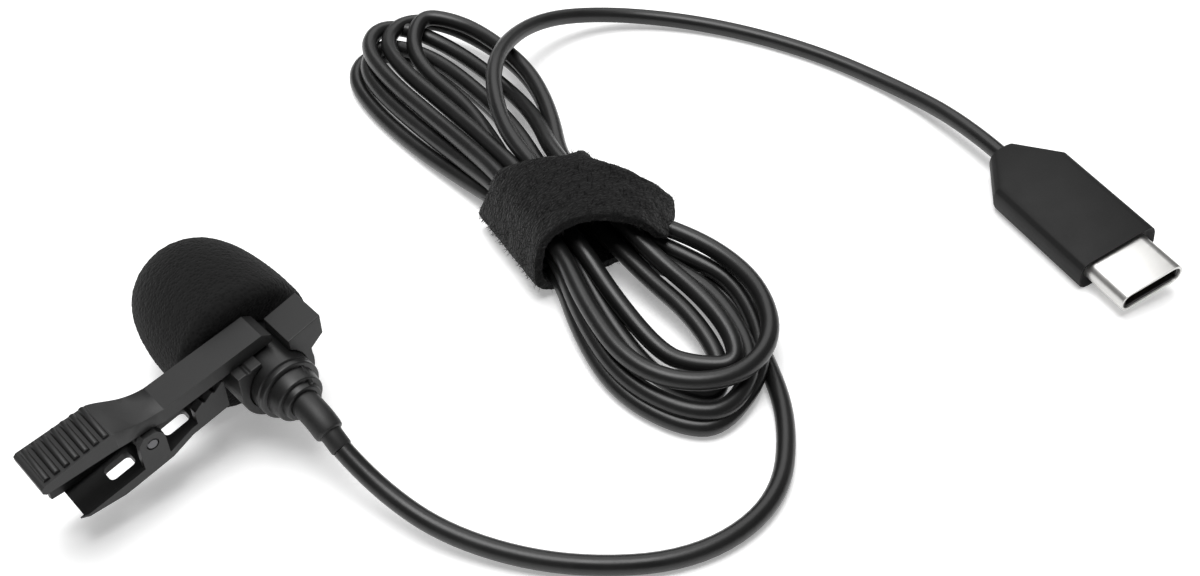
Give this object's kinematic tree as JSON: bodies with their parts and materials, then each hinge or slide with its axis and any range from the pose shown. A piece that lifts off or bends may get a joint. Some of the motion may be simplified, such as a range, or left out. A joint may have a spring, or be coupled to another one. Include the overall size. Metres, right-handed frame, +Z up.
{
  "type": "lavalier microphone",
  "caption": "Clip-on lavalier microphone: foam windscreen, sprung tie clip with ring, thin cord in a tied hank, USB-C plug.",
  "frame": {"origin": "centre of the base of the microphone and clip, on the surface they lie on; the cord, hank and plug are left out of it", "axes": "+Z up; +Y along the microphone towards the foam tip; +X along the clip from the thumb pad to the ring"},
  "size_m": [0.1134, 0.0964, 0.0152],
  "materials": {
    "foam": "open-cell foam",
    "housing_black": "satin black moulded plastic",
    "clip_black": "satin black moulded plastic",
    "cord_black": "semi-gloss PVC jacket",
    "hook_loop": "woven hook-and-loop pile",
    "plug_black": "satin black moulded plastic",
    "shell_steel": "satin nickel plate",
    "pin_steel": "drawn steel",
    "can_aluminium": "drawn aluminium",
    "grille_black": "black painted mesh",
    "felt": "felt",
    "insulator_black": "moulded LCP",
    "film": "metallised film",
    "brass": "gold flash",
    "board_green": "solder mask",
    "chip_black": "moulded epoxy",
    "gasket": "moulded rubber",
    "wire_jacket": "enamel"
  },
  "bodies": {
    "microphone": {"front_housing": "housing_black", "capsule_grille": "grille_black", "dust_felt": "felt", "capsule_can": "can_aluminium", "diaphragm_ring": "brass", "diaphragm": "film", "spacer_ring": "film", "backplate": "brass", "capsule_insulator": "insulator_black", "fet_board": "board_green", "fet_chip": "chip_black", "capsule_gasket": "gasket", "rear_housing": "housing_black", "cable_crimp": "brass", "strain_relief": "cord_black", "signal_wires": "wire_jacket", "cord_mic_lead": "cord_black", "cord_hank": "cord_black", "cord_plug_lead": "cord_black", "tie_band": "hook_loop", "plug_overmould": "plug_black", "plug_shell": "shell_steel", "plug_insulator": "insulator_black", "plug_contacts_upper": "brass", "plug_contacts_lower": "brass", "plug_latch_springs": "pin_steel", "plug_board": "board_green", "plug_adc_chip": "chip_black", "plug_passives": "chip_black"},
    "clip": {"clip_upper_lever": "clip_black", "mic_holder_ring": "clip_black", "hinge_pin": "pin_steel", "torsion_spring": "pin_steel"},
    "jaw": {"clip_lower_lever": "clip_black"},
    "windscreen": {"foam_windscreen": "foam"}
  },
  "joints": [
    {"name": "windscreen_pull", "type": "slide", "parent": "microphone", "child": "windscreen", "axis": [0, 1, 0], "range_m": [0, 0.014]},
    {"name": "clip_swivel", "type": "hinge", "parent": "microphone", "child": "clip", "pos_m": [0.0084, 0, 0.0076], "axis": [0, 1, 0], "continuous": true},
    {"name": "clip_squeeze", "type": "hinge", "parent": "clip", "child": "jaw", "pos_m": [-0.0052, -0.0019, 0.0083], "axis": [0, 1, 0], "range_deg": [0, 16], "stiffness_Nm_per_rad": 0.004, "springref_deg": -22.92}
  ]
}
